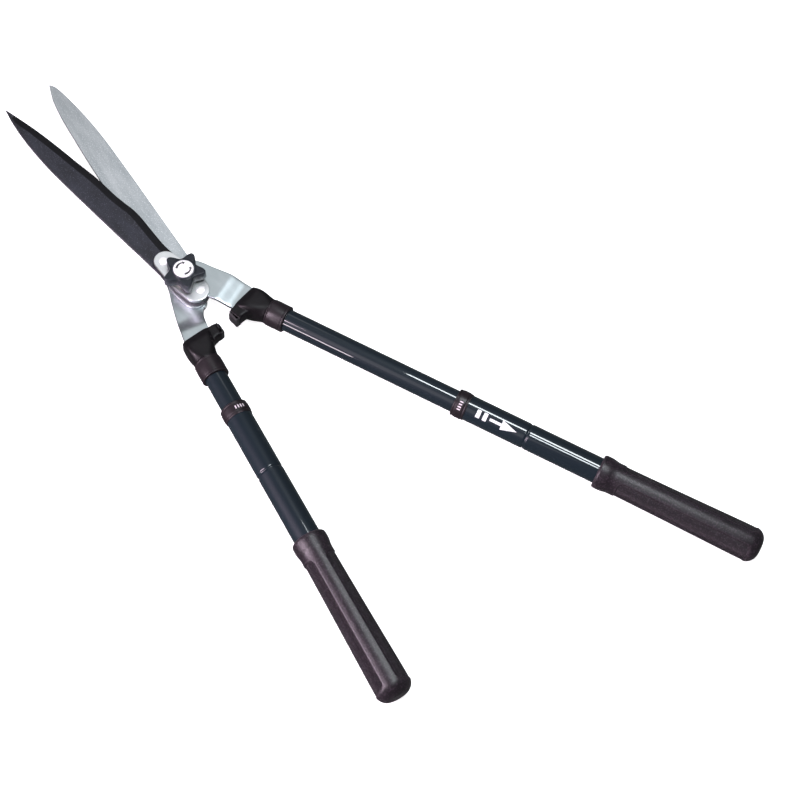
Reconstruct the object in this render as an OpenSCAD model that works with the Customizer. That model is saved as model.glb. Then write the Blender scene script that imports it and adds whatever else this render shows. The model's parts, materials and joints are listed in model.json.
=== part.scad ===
// Telescopic hedge shears: two crossed blades on one adjustable pivot, with two
// handles that slide out on inner tubes and are held by twist locks.
// Origin on the pivot axis at the level of the surface the shears lie on.
// +X runs between the handles, +Z is up through the knob. Millimetres.

/* [Blades] */
// Distance from the pivot to each blade's tip
blade_reach = 290; // [250:1:300]
// Thickness of each blade
blade_t = 3; // [2.5:0.1:4]
// Angle of the front blade above the line behind the pivot
front_blade_angle = 1.8; // [0:0.1:4]
// Angle of the rear blade above the line behind the pivot
rear_blade_angle = 12.8; // [11:0.1:16]
// Width of the ground strip along each cutting edge
bevel_w = 5.5; // [4:0.5:7]

/* [Pivot] */
// Radius of the pivot bolt
bolt_r = 5; // [4:0.5:5]
// Thickness of each steel tang
tang_t = 3.5; // [3:0.1:4]
// Thickness of the oblong plate on each side
plate_t = 2.5; // [2:0.1:3]
// Distance from the pivot to the rivet on the blade's side
rivet_back = 27.5; // [26:0.5:29]
// Distance from the pivot to the rivet on the handle's side
rivet_front = 21.8; // [20:0.2:23]
// Height of the star knob
knob_h = 11.2; // [11:0.1:14]
// Radius over the knob's lobes
knob_r = 22; // [20:0.5:23]

/* [Handles] */
// Angle between the front arm's handle and the middle line at rest
front_angle = 16.5; // [15:0.1:18]
// Angle between the rear arm's handle and the middle line at rest
rear_angle = 16.8; // [15:0.1:18]
// Outside radius of the inner tubes
inner_r = 11; // [10.5:0.1:11]
// Outside radius of the outer tubes
outer_r = 12.7; // [12.6:0.1:12.8]
// Wall of every tube
wall = 0.8; // [0.7:0.05:0.8]
// How far each outer tube slides
travel = 148; // [120:4:152]
// Length of each grip
grip_len = 163.5; // [150:0.5:166]
// Largest radius of each grip
grip_r = 17.1; // [16.9:0.1:18]

/* [Hidden] */
$fn = 96;
// Gap of a piece turning or sliding on another
run_gap = 0.05;
// Gap between flat faces that pass each other
face_gap = 0.05;

// Heights: the blades meet on the level of the handle axes
mid_z = grip_r;
blade_top = blade_t + face_gap;
tang_top = blade_top + tang_t;
plate_top = tang_top + plate_t;
bolt_head_h = 6.4;
bolt_head_af = 17;
bolt_washer_r = 11;

// Blade edge and back, from the heel to the tip, with the tip on the X axis
wavy_edge = [[-22, 12.8], [-45, 12.2], [-72, 15], [-99, 17.5], [-123, 15.6], [-156, 14.6],
             [-183, 12.4], [-211, 10.4], [-240, 7.5], [-266, 3.6], [-286, -0.4]];
wavy_back = [[-286, -0.4], [-266, -5.6], [-238, -10.3], [-207, -13.2], [-176, -14.3],
             [-102, -14.2], [-32, -13.6], [-14, -14.5]];
plain_edge = [[-22, 13], [-62, 13.6], [-112, 13.4], [-152, 12.8], [-188, 11.8], [-216, 10.6],
              [-244, 9.2], [-271, 5.8], [-292, 0]];
plain_back = [[-292, 0], [-286, -4.4], [-270, -8.3], [-238, -13], [-206, -15.8], [-173, -16.8],
              [-126, -17.4], [-62, -17.8], [-30, -18], [-10, -18]];
blade_span = 290;

// Tang edges: outer side towards the socket, then inner side back to the pivot
front_tang_out = [[-17, 12], [-6.9, 23.3], [9.5, 29.6], [23, 34.9], [35, 38.8], [44, 41.4],
                  [50.4, 42.4], [55.2, 41.5]];
front_tang_in = [[62.5, 16.2], [54.5, 12.6], [43.3, 8], [37, 5.4], [31, 2.4], [25, -4]];
rear_tang_out = [[-16, 10], [-12, 13.4], [-3.7, 17.7], [5.2, 23.2], [18.3, 30.6], [31.6, 37.5],
                 [44.9, 44.2], [52.8, 48], [54.3, 48.6]];
rear_tang_in = [[60, 22.4], [52.8, 18.6], [45.5, 15.2], [38.9, 11], [33.5, 5.6], [28, -4]];

// Distance of each handle's axis from the pivot
front_off = 11.6;
rear_off = 20.5;

// Stations along a handle's axis, from the point nearest to the pivot
bend_start = 36;
bend_end = 55;
socket_front = 56.5;
neck_from = 80;
socket_end = 88.5;
socket_collar_end = 108.5;
tube_start = 67;
tail_end = 98;
tail_w = 16;
pin_at = 79;
pin_r = 2;
socket_half = 8.5;
neck_r = 12.6;
rear_reach = 3.2;
lock_start = 144.5;
lock_len = 13.4;
guide_from = 70;
guide_to = 82;
ring_at = 76;
tube_seat = 8;
grip_from = 149.5;
plug_len = 20;
stop_len = 4;
stop_gap = 0.3;
tube_end = lock_start + travel + guide_to + stop_gap;
grip_end = grip_from + grip_len;
outer_end = grip_end - 8;
front_shift = lock_start + travel;
rear_shift = lock_start;

// Curve through points, each span cut into a few straight pieces
function spline(a, b, c, d, t) = 0.5 * (2 * b + (c - a) * t + (2 * a - 5 * b + 4 * c - d) * t * t
    + (3 * b - a - 3 * c + d) * t * t * t);
function curve(p, steps = 5) = [
    for (i = [0 : len(p) - 2], k = [0 : steps - 1])
        spline(p[max(i - 1, 0)], p[i], p[i + 1], p[min(i + 2, len(p) - 1)], k / steps),
    p[len(p) - 1]];
function stretch(p, k) = [for (q = p) [q[0] * k, q[1]]];

// ---- placing ----

module at_mid() {
    translate([0, 0, mid_z]) children();
}

// Front arm's handle: X along the tube, +Y on the outer side
module on_front_axis() {
    rotate([0, 0, front_angle]) translate([0, front_off, mid_z]) children();
}

// Rear arm's handle: the same, mirrored to the other side
module on_rear_axis() {
    mirror([0, 1, 0]) rotate([0, 0, rear_angle]) translate([rear_reach, rear_off, mid_z]) children();
}

// Rear arm's flat steel: mirrored across the handles and turned over
module rear_side() {
    translate([0, 0, mid_z]) mirror([0, 1, 0]) mirror([0, 0, 1]) children();
}

module rod(from, to, r) {
    translate([from, 0, 0]) rotate([0, 90, 0]) cylinder(h = to - from, r = r);
}

module pipe(from, to, r_out, r_in) {
    difference() {
        rod(from, to, r_out);
        rod(from - 1, to + 1, r_in);
    }
}

module pivot_hole(r) {
    translate([0, 0, -1]) cylinder(h = 40, r = r);
}

module rivet_places(angle) {
    for (x = [-rivet_back, rivet_front]) rotate([0, 0, angle]) translate([x, 0, 0]) children();
}

// ---- blades ----

// Removes the ground strip above a line from point a to point b
module bevel_cut(a, b) {
    dir = atan2(b[1] - a[1], b[0] - a[0]);
    drop = atan2(blade_t - 0.5, bevel_w + 1);
    translate([a[0], a[1], blade_top]) rotate([0, 0, dir]) rotate([drop, 0, 0])
        translate([-6, -60, 0]) cube([norm(b - a) + 40, 60, 20]);
}

module blade(edge, back, heel, heel_angle, hole_r) {
    k = blade_reach / blade_span;
    translate([0, 0, face_gap]) difference() {
        union() {
            linear_extrude(blade_t)
                polygon(concat(curve(stretch(edge, k)), curve(stretch(back, k)), [[0, -15], [0, 12]]));
            linear_extrude(blade_t) rotate(heel_angle) hull() {
                for (c = heel) translate([c[0], c[1]]) circle(r = c[2], $fn = 48);
            }
        }
        pivot_hole(hole_r);
    }
}

// Angle of each plate and its rivets against the blade
front_plate_turn = 6;
rear_plate_turn = 2;

// Circles that bound each heel and plate: along the rivets, across them, radius
front_heel = [[2, 0, 15.6], [19.2, -3.4, 12.6]];
rear_heel = [[0, 0, 16.2], [12, 0, 14.6], [20, 0, 12.4]];
front_plate_ends = [[-27, 1.5, 11.4], [2, -0.2, 15.6], [18.6, -3.2, 12.8]];
rear_plate_ends = [[-27, 0, 10.8], [0, 0, 15.4], [rivet_front + 1, 0, 11]];

module front_blade() {
    color("#2c2b2e") at_mid() rotate([0, 0, -front_blade_angle]) difference() {
        blade(wavy_edge, wavy_back, front_heel, front_plate_turn, 7 + run_gap);
        bevel_cut([-36, 7.4], [-172, 8]);
        bevel_cut([-168, 8.2], [-290, -4.6]);
        rivet_places(front_plate_turn) pivot_hole(3 + run_gap);
    }
}

module rear_blade() {
    color("#c9ccce") rear_side() rotate([0, 0, rear_blade_angle]) difference() {
        blade(plain_edge, plain_back, rear_heel, rear_plate_turn, bolt_r + run_gap);
        bevel_cut([-36, 8.2], [-190, 6.6]);
        bevel_cut([-186, 6.8], [-290, -3.6]);
        rivet_places(rear_plate_turn) pivot_hole(3 + run_gap);
    }
}

// ---- tangs and plates ----

// Side view of a tang: flat at the pivot, then a soft bend down to the handle's axis
module tang_side(turn) {
    low = -tang_t / 2;
    bend = [for (i = [0 : 8]) let (t = i / 8)
        [bend_start + (bend_end - bend_start) * t, blade_top + (low - blade_top) * t * t * (3 - 2 * t)]];
    rotate([0, 0, turn]) rotate([90, 0, 0]) linear_extrude(140, center = true) polygon(concat(
        [[-60, blade_top]], bend, [[tail_end + 9, low], [tail_end + 9, low + tang_t]],
        [for (i = [8 : -1 : 0]) bend[i] + [0.5, tang_t]], [[-60, tang_top]]));
}

module slab() {
    translate([0, 0, -20]) linear_extrude(40) children();
}

module tang(out_edge, in_edge, ends, angle, off, reach, plate_angle, hole_r) {
    difference() {
        intersection() {
            union() {
                slab() polygon(concat(curve(out_edge), curve(in_edge)));
                slab() rotate(plate_angle) hull() {
                    for (c = ends) translate([c[0], c[1]]) circle(r = c[2] - 0.4, $fn = 48);
                }
                slab() rotate(angle) translate([50, off - tail_w / 2])
                    square([tail_end + reach - 50, tail_w]);
            }
            tang_side(angle);
        }
        pivot_hole(hole_r);
        rivet_places(plate_angle) pivot_hole(3 + run_gap);
        rotate([0, 0, angle]) translate([pin_at + reach, off, -30])
            cylinder(h = 60, r = pin_r + run_gap);
    }
}

module plate(ends, angle, hole_r) {
    translate([0, 0, tang_top]) difference() {
        linear_extrude(plate_t) rotate(angle) hull() {
            for (c = ends) translate([c[0], c[1]]) circle(r = c[2], $fn = 64);
        }
        pivot_hole(hole_r);
        rivet_places(angle) pivot_hole(3 + run_gap);
    }
}

module rivets(angle) {
    rivet_places(angle) {
        translate([0, 0, face_gap]) cylinder(h = plate_top - face_gap, r = 3);
        translate([0, 0, plate_top]) rotate_extrude()
            polygon([[0, 0], [4.6, 0], [4.4, 0.5], [3.6, 1], [2.2, 1.3], [0, 1.4]]);
    }
}

front_plate_angle = front_plate_turn - front_blade_angle;
rear_plate_angle = rear_plate_turn + rear_blade_angle;

module front_tang() {
    color("#b4b8bb") at_mid()
        tang(front_tang_out, front_tang_in, front_plate_ends, front_angle, front_off, 0,
            front_plate_angle, 7 + run_gap);
}

module rear_tang() {
    color("#b4b8bb") rear_side()
        tang(rear_tang_out, rear_tang_in, rear_plate_ends, rear_angle, rear_off, rear_reach,
            rear_plate_angle, bolt_r + run_gap);
}

module front_plate() {
    color("#d2d4d6") at_mid() plate(front_plate_ends, front_plate_angle, 7 + run_gap);
}

module rear_plate() {
    color("#d2d4d6") rear_side() plate(rear_plate_ends, rear_plate_angle, bolt_r + run_gap);
}

module front_rivets() {
    color("#e4e4e4") at_mid() rivets(front_plate_angle);
}

module rear_rivets() {
    color("#e4e4e4") rear_side() rivets(rear_plate_angle);
}

// ---- pivot ----

spring_t = 1.2;
thrust_t = 1.2;
spring_z = plate_top + 0.1;
thrust_z = spring_z + spring_t + 0.1;
knob_z = thrust_z + thrust_t + 0.1;
insert_h = 9;
bolt_end = knob_z + insert_h - 1;

module pivot_bolt() {
    color("#9a9da0") {
        cylinder(h = bolt_head_h, r = bolt_head_af / sqrt(3), $fn = 6);
        translate([0, 0, bolt_head_h]) cylinder(h = mid_z + bolt_end - bolt_head_h, r = bolt_r);
    }
}

module bolt_washer() {
    color("#a8abad") difference() {
        translate([0, 0, bolt_head_h]) cylinder(h = mid_z - plate_top - bolt_head_h, r = bolt_washer_r);
        cylinder(h = 40, r = bolt_r + run_gap);
    }
}

module pivot_sleeve() {
    color("#b08d57") at_mid() difference() {
        translate([0, 0, face_gap]) cylinder(h = plate_top - face_gap, r = 7);
        pivot_hole(bolt_r + run_gap);
    }
}

module spring_washer() {
    color("#8f9295") at_mid() difference() {
        translate([0, 0, spring_z]) cylinder(h = spring_t, r = 9.5);
        pivot_hole(bolt_r + 0.5);
    }
}

module thrust_washer() {
    color("#e8e6df") at_mid() difference() {
        translate([0, 0, thrust_z]) cylinder(h = thrust_t, r = 12);
        pivot_hole(bolt_r + run_gap);
    }
}

// Five rounded lobes, the first towards the front handle
lobe_angle = 40;
lobe_mean = knob_r - 4.2;
function star(n = 120) = [for (i = [0 : n - 1]) let (a = i * 360 / n,
    r = lobe_mean + 3.9 * cos(5 * a) + 0.3 * cos(10 * a)) [r * cos(a), r * sin(a)]];
disc_r = 9.9;
disc_t = 2.2;
disc_sunk = 1.2;
insert_r = 8;

module knob() {
    color("#2b2f34") at_mid() translate([0, 0, knob_z]) difference() {
        rotate([0, 0, lobe_angle]) linear_extrude(knob_h) polygon(star());
        translate([0, 0, -1]) cylinder(h = insert_h + 1, r = insert_r);
        translate([0, 0, knob_h - disc_sunk]) cylinder(h = disc_t + 1, r = disc_r + run_gap);
    }
}

module knob_insert() {
    color("#b59a5b") at_mid() translate([0, 0, knob_z]) difference() {
        cylinder(h = insert_h - 0.05, r = insert_r - run_gap);
        translate([0, 0, -1]) cylinder(h = insert_h + 0.6, r = bolt_r + run_gap);
    }
}

module knob_disc() {
    color("#f2f2f0") at_mid() translate([0, 0, knob_z + knob_h - disc_sunk + 0.05])
        cylinder(h = disc_t - 0.05, r = disc_r);
}

// ---- sockets ----

// Socket seen from above: mouth, stop arm on the inner side, neck on the tube
module socket_outline(arm_in, arm_out) {
    polygon(concat(
        [[socket_front + 8.2, 13.8], [socket_front + 6.8, 12.8], [socket_front + 0.2, -20],
         [socket_front + 0.8, arm_in], [socket_front + 14, arm_out]],
        curve([[socket_front + 15, arm_out + 3.2], [socket_front + 15.6, -20],
               [socket_front + 18.2, -15], [neck_from, -12.4]]),
        [[neck_from, 12.4], [socket_front + 16, 13.6]]));
}

module socket(arm_in, arm_out) {
    difference() {
        union() {
            linear_extrude(2 * socket_half, center = true) socket_outline(arm_in, arm_out);
            // Round neck that swells out of the flat mouth
            rotate([0, 90, 0]) rotate_extrude() polygon([
                [0, socket_front + 5], [socket_half, socket_front + 5], [neck_r, tube_start - 0.5],
                [neck_r, socket_end], [0, socket_end]]);
        }
        rod(tube_start, socket_end + 1, inner_r + run_gap);
        // Slot for the tang's shoulders, which end just before the tube
        translate([socket_front - 10, -17.4, -tang_t / 2 - run_gap])
            cube([tube_start - socket_front + 10, 30.4, tang_t + 2 * run_gap]);
        translate([pin_at, 0, -neck_r - 1]) cylinder(h = neck_r + 10, r = pin_r + run_gap);
    }
}

// Rubber block on the end of the stop arm
module bumper(arm_in, arm_out) {
    linear_extrude(2 * socket_half - 3, center = true) polygon([
        [socket_front + 1, arm_in - 0.1], [socket_front + 13.8, arm_out - 0.1],
        [socket_front + 13.2, arm_out - pad_t + 0.6], [socket_front + 12.2, arm_out - pad_t],
        [socket_front + 3, arm_in - pad_t], [socket_front + 1.8, arm_in - pad_t + 0.8]]);
}

module wedge() {
    difference() {
        rod(tube_start + 1, tail_end + 4, inner_r - wall - run_gap);
        translate([tube_start - 5, -tail_w / 2 - run_gap, -tang_t / 2 - run_gap])
            cube([tail_end - tube_start + 5.1, tail_w + 2 * run_gap, tang_t + 2 * run_gap]);
        translate([pin_at, 0, -20]) cylinder(h = 40, r = pin_r + run_gap);
    }
}

module socket_pin() {
    translate([pin_at, 0, -neck_r + 0.4]) cylinder(h = neck_r + 9, r = pin_r);
}

module inner_tube() {
    difference() {
        pipe(tube_start, tube_end, inner_r, inner_r - wall);
        translate([pin_at, 0, -20]) cylinder(h = 40, r = pin_r + run_gap);
    }
}

module end_stop() {
    rod(tube_end - plug_len, tube_end + 1, inner_r - wall - run_gap);
    rod(tube_end + run_gap, tube_end + stop_len, outer_r - wall - run_gap);
}

// Ends of the stop arms, at their near and far corners along the handle
front_arm_in = -23.4;
front_arm_out = -26.6;
rear_arm_in = -24.8;
rear_arm_out = -25.4;
pad_t = 3;

module front_socket() {
    color("#352a31") on_front_axis() socket(front_arm_in, front_arm_out);
}

module rear_socket() {
    color("#352a31") on_rear_axis() socket(rear_arm_in, rear_arm_out);
}

module front_bumper() {
    color("#1d1c1e") on_front_axis() bumper(front_arm_in, front_arm_out);
}

module rear_bumper() {
    color("#1d1c1e") on_rear_axis() bumper(rear_arm_in, rear_arm_out);
}

module socket_collar() {
    rotate([0, 90, 0]) rotate_extrude() polygon([
        [inner_r + run_gap, socket_end + 0.1], [13, socket_end + 0.1], [13.6, socket_end + 0.9],
        [13.6, socket_collar_end - 0.9], [13, socket_collar_end], [inner_r + run_gap, socket_collar_end]]);
}

module front_socket_collar() {
    color("#3b3037") on_front_axis() socket_collar();
}

module rear_socket_collar() {
    color("#3b3037") on_rear_axis() socket_collar();
}

module front_tang_wedge() {
    color("#d8d4c8") on_front_axis() wedge();
}

module rear_tang_wedge() {
    color("#d8d4c8") on_rear_axis() wedge();
}

module front_socket_pin() {
    color("#a5a8aa") on_front_axis() socket_pin();
}

module rear_socket_pin() {
    color("#a5a8aa") on_rear_axis() socket_pin();
}

module front_inner_tube() {
    color("#14262d") on_front_axis() inner_tube();
}

module rear_inner_tube() {
    color("#14262d") on_rear_axis() inner_tube();
}

module front_end_stop() {
    color("#dcd8cc") on_front_axis() end_stop();
}

module rear_end_stop() {
    color("#dcd8cc") on_rear_axis() end_stop();
}

// ---- sliding handles: X from the front of the lock collar ----

bore_r = outer_r - wall;

// Tube with a rolled groove where the guide bush sits
module outer_tube() {
    rotate([0, 90, 0]) rotate_extrude() polygon([
        [bore_r, tube_seat], [outer_r, tube_seat], [outer_r, ring_at - 1.6],
        [outer_r - 0.4, ring_at - 0.5], [outer_r - 0.4, ring_at + 0.5],
        [outer_r, ring_at + 1.6], [outer_r, outer_end], [bore_r, outer_end]]);
}

module guide_bush() {
    pipe(guide_from, guide_to, bore_r - 0.02, inner_r + run_gap);
}

// Split gripping ring: a head in front of the tube and a thin skirt inside it
module collet() {
    difference() {
        union() {
            pipe(1.8, tube_seat - 0.05, outer_r - 0.1, inner_r + run_gap);
            pipe(tube_seat - 0.06, tube_seat + 14, bore_r - 0.02, inner_r + run_gap);
        }
        for (a = [45 : 90 : 315]) rotate([a, 0, 0]) translate([tube_seat + 3, -0.8, 0])
            cube([30, 1.6, 20]);
    }
}

module tube_plug() {
    rod(outer_end - 12, outer_end, bore_r - 0.02);
}

lock_r = 13.8;

module lock_collar() {
    rotate([0, 90, 0]) rotate_extrude() polygon([
        [inner_r + 0.35, 0], [13.2, 0], [lock_r, 0.8], [lock_r, 5], [13.6, 5.3], [lock_r, 5.6],
        [lock_r, lock_len - 0.8], [13.3, lock_len], [outer_r + 0.08, lock_len],
        [outer_r + 0.08, 1.6], [inner_r + 0.35, 1.6]]);
}

flange_r = 16.7;
grip_neck_r = 15.5;

module grip() {
    end_round = 11;
    corner = [for (a = [0 : 10 : 90]) [grip_r - end_round + end_round * cos(a),
        grip_end - end_round + end_round * sin(a)]];
    rotate([0, 90, 0]) rotate_extrude() polygon(concat(
        [[outer_r + 0.02, grip_from], [15.4, grip_from], [flange_r - 0.3, grip_from + 1.2],
         [flange_r, grip_from + 2.6], [flange_r, grip_from + 10], [16.2, grip_from + 12.4],
         [grip_neck_r, grip_from + 15], [grip_neck_r, grip_from + 24], [grip_r, grip_end - 26]],
        corner,
        [[0, grip_end], [0, outer_end + 0.1], [outer_r + 0.02, outer_end + 0.1]]));
}

module on_front_slide() {
    on_front_axis() translate([front_shift, 0, 0]) children();
}

module on_rear_slide() {
    on_rear_axis() translate([rear_shift, 0, 0]) children();
}

module front_outer_tube() {
    color("#10252d") on_front_slide() outer_tube();
}

module rear_outer_tube() {
    color("#10252d") on_rear_slide() outer_tube();
}

module front_guide_bush() {
    color("#dcd8cc") on_front_slide() guide_bush();
}

module rear_guide_bush() {
    color("#dcd8cc") on_rear_slide() guide_bush();
}

module front_collet() {
    color("#cfcabd") on_front_slide() collet();
}

module rear_collet() {
    color("#cfcabd") on_rear_slide() collet();
}

module front_tube_plug() {
    color("#dcd8cc") on_front_slide() tube_plug();
}

module rear_tube_plug() {
    color("#dcd8cc") on_rear_slide() tube_plug();
}

module front_grip() {
    color("#33272e") on_front_slide() grip();
}

module rear_grip() {
    color("#33272e") on_rear_slide() grip();
}

module front_lock_collar() {
    color("#3b3037") on_front_slide() lock_collar();
}

module rear_lock_collar() {
    color("#3b3037") on_rear_slide() lock_collar();
}

front_blade();
front_tang();
front_plate();
front_rivets();
pivot_sleeve();
spring_washer();
front_socket();
front_bumper();
front_socket_collar();
front_tang_wedge();
front_socket_pin();
front_inner_tube();
front_end_stop();
rear_blade();
rear_tang();
rear_plate();
rear_rivets();
pivot_bolt();
bolt_washer();
rear_socket();
rear_bumper();
rear_socket_collar();
rear_tang_wedge();
rear_socket_pin();
rear_inner_tube();
rear_end_stop();
thrust_washer();
knob();
knob_insert();
knob_disc();
front_outer_tube();
front_guide_bush();
front_collet();
front_tube_plug();
front_grip();
front_lock_collar();
rear_outer_tube();
rear_guide_bush();
rear_collet();
rear_tube_plug();
rear_grip();
rear_lock_collar();
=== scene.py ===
import bpy, bmesh, json, math
from mathutils import Matrix, Vector


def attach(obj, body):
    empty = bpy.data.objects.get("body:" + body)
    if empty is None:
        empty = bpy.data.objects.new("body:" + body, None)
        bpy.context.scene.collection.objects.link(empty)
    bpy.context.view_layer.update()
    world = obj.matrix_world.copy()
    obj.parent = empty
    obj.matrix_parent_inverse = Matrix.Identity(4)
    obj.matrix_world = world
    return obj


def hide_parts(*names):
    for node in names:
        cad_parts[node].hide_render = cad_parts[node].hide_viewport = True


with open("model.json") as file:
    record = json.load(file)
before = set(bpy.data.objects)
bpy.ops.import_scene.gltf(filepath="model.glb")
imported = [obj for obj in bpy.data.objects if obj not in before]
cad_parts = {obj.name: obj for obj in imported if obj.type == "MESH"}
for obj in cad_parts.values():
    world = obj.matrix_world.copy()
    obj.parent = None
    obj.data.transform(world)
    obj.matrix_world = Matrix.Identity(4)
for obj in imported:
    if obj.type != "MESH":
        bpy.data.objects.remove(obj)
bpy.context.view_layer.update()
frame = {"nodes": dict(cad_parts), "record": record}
NODES = frame["nodes"]

# Sizes are in mm and angles in degrees, unless a name ends in _M.
MM = 0.001
MID = 17.1              # height of the blades' meeting plane and of both handle axes
FRONT_ANGLE = 16.5      # of each handle from the X axis
REAR_ANGLE = 16.8
FRONT_OFFSET = 11.6     # of each handle's axis from the pivot
REAR_OFFSET = 20.5
REAR_SHIFT = 3.2        # of the rear handle along its own axis
FRONT_BLADE_ANGLE = 1.8
REAR_BLADE_ANGLE = 12.8
FRONT_PLATE_ANGLE = 4.2
REAR_PLATE_ANGLE = 14.8


# ------------------------------------------------------------------ places

def turn_z(a):
    return Matrix.Rotation(math.radians(a), 4, "Z")


def move(x, y, z):
    return Matrix.Translation(Vector((x, y, z)) * MM)


AT_MID = move(0, 0, MID)
FRONT_STEEL = AT_MID
REAR_STEEL = AT_MID @ Matrix.Rotation(math.pi, 4, "X")
FRONT_AXIS = turn_z(FRONT_ANGLE) @ move(0, FRONT_OFFSET, MID)
REAR_AXIS = turn_z(-REAR_ANGLE) @ move(REAR_SHIFT, -REAR_OFFSET, MID)
LOCK_AT = 144.5         # along the handle's axis, with the handle pushed in
TRAVEL = 148
FRONT_SLIDE = FRONT_AXIS @ move(LOCK_AT + TRAVEL, 0, 0)
REAR_SLIDE = REAR_AXIS @ move(LOCK_AT, 0, 0)


# ------------------------------------------------------------------ mesh helpers

def spline(points, steps=5):
    """Smooth curve through the points, with `steps` pieces between each pair."""
    out = []
    n = len(points)
    for i in range(n - 1):
        a, b, c, d = points[max(i - 1, 0)], points[i], points[i + 1], points[min(i + 2, n - 1)]
        for k in range(steps):
            t = k / steps
            out.append(tuple(
                0.5 * (2 * b[m] + (c[m] - a[m]) * t + (2 * a[m] - 5 * b[m] + 4 * c[m] - d[m]) * t * t
                       + (3 * b[m] - a[m] - 3 * c[m] + d[m]) * t ** 3) for m in range(2)))
    out.append(tuple(points[-1]))
    return out


def resample(points, count):
    """The same line with `count` points, evenly spaced."""
    lengths = [0.0]
    for a, b in zip(points, points[1:]):
        lengths.append(lengths[-1] + math.dist(a, b))
    out, j = [], 0
    for i in range(count):
        s = lengths[-1] * i / (count - 1)
        while j < len(points) - 2 and lengths[j + 1] < s:
            j += 1
        t = (s - lengths[j]) / max(lengths[j + 1] - lengths[j], 1e-9)
        out.append(tuple(points[j][m] + (points[j + 1][m] - points[j][m]) * t for m in range(2)))
    return out


def fillet(points, radius, steps=4):
    """Rounds the inner corners of an open polyline."""
    out = [points[0]]
    for a, b, c in zip(points, points[1:], points[2:]):
        va, vc = Vector(a) - Vector(b), Vector(c) - Vector(b)
        r = min(radius, va.length * 0.45, vc.length * 0.45)
        p, q = Vector(b) + va.normalized() * r, Vector(b) + vc.normalized() * r
        for k in range(steps + 1):
            t = k / steps
            v = p * (1 - t) ** 2 + Vector(b) * 2 * t * (1 - t) + q * t * t
            out.append((v.x, v.y))
    out.append(points[-1])
    return out


def smooth_step(low, high, x):
    t = min(1, max(0, (x - low) / (high - low)))
    return t * t * (3 - 2 * t)


def circle(cx, cy, r, n=64):
    return [(cx + r * math.cos(2 * math.pi * k / n), cy + r * math.sin(2 * math.pi * k / n))
            for k in range(n)]


def hull(points):
    """Convex outline, counter-clockwise."""
    pts = sorted(set((round(x, 6), round(y, 6)) for x, y in points))

    def half(seq):
        out = []
        for p in seq:
            while len(out) > 1 and ((out[-1][0] - out[-2][0]) * (p[1] - out[-2][1])
                                    - (out[-1][1] - out[-2][1]) * (p[0] - out[-2][0])) <= 0:
                out.pop()
            out.append(p)
        return out[:-1]
    return half(pts) + half(pts[::-1])


def inset(loop, depth):
    """Moves each point of a counter-clockwise loop inwards by its own depth."""
    n = len(loop)
    out = []
    for i, p in enumerate(loop):
        a, b = Vector(loop[i - 1]), Vector(loop[(i + 1) % n])
        d = (b - a).normalized()
        out.append((p[0] - d.y * depth[i], p[1] + d.x * depth[i]))
    return out


def new_object(name, verts, faces, place, smooth=40):
    """Makes a mesh object from points in mm, with edges sharper than `smooth` degrees kept sharp."""
    mesh = bpy.data.meshes.new(name)
    mesh.from_pydata([tuple(c * MM for c in v) for v in verts], [], faces)
    bm = bmesh.new()
    bm.from_mesh(mesh)
    bmesh.ops.remove_doubles(bm, verts=bm.verts, dist=1e-7)
    bmesh.ops.recalc_face_normals(bm, faces=bm.faces)
    bm.to_mesh(mesh)
    bm.free()
    for poly in mesh.polygons:
        poly.use_smooth = True
    mesh.set_sharp_from_angle(angle=math.radians(smooth))
    obj = bpy.data.objects.new(name, mesh)
    bpy.context.scene.collection.objects.link(obj)
    obj.matrix_world = place
    return obj


def join(name, objs):
    """Makes one object of several that share a place."""
    with bpy.context.temp_override(active_object=objs[0], selected_editable_objects=objs,
                                   selected_objects=objs):
        bpy.ops.object.join()
    objs[0].name = name
    return objs[0]


def lathe(name, profile, place, seg=96, axis="X", smooth=35):
    """Turns a profile of (along, radius) points round an axis; points of radius 0 close it."""
    verts, faces, rings = [], [], []
    for u, r in profile:
        if r < 1e-6:
            rings.append([len(verts)])
            verts.append((u, 0, 0))
        else:
            rings.append(list(range(len(verts), len(verts) + seg)))
            verts += [(u, r * math.cos(2 * math.pi * k / seg), r * math.sin(2 * math.pi * k / seg))
                      for k in range(seg)]
    for a, b in zip(rings, rings[1:]):
        for k in range(seg):
            m = (k + 1) % seg
            quad = [a[k % len(a)], a[m % len(a)], b[m % len(b)], b[k % len(b)]]
            quad = [v for i, v in enumerate(quad) if v not in quad[:i]]
            if len(quad) > 2:
                faces.append(quad)
    if axis == "Z":
        verts = [(y, z, x) for x, y, z in verts]
    return new_object(name, verts, faces, place, smooth)


def layered(name, rings, place, smooth=30):
    """Joins loops of equal length, each with its own heights, into a closed skin."""
    verts, faces = [], []
    n = len(rings[0])
    for ring in rings:
        verts += ring
    for level in range(len(rings) - 1):
        a, b = level * n, (level + 1) * n
        faces += [(a + k, a + (k + 1) % n, b + (k + 1) % n, b + k) for k in range(n)]
    faces.append(tuple(range(n))[::-1])
    faces.append(tuple(range((len(rings) - 1) * n, len(rings) * n)))
    return new_object(name, verts, faces, place, smooth)


def at_height(loop, z):
    return [(x, y, z) for x, y in loop]


def stepped(loop, steps):
    """Copies of a loop, each moved inwards and set at a height: steps are (inwards, height)."""
    return [at_height(inset(loop, [inwards] * len(loop)), z) for inwards, z in steps]


def slab(name, loop, low, high, soft, place):
    """Flat plate with both rims rounded."""
    chamfer = soft * 0.3
    steps = [(soft, low), (chamfer, low + chamfer), (0, low + soft), (0, high - soft),
             (chamfer, high - chamfer), (soft, high), (soft + 0.2, high)]
    return layered(name, stepped(loop, steps), place)


# ------------------------------------------------------------------ materials

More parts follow.
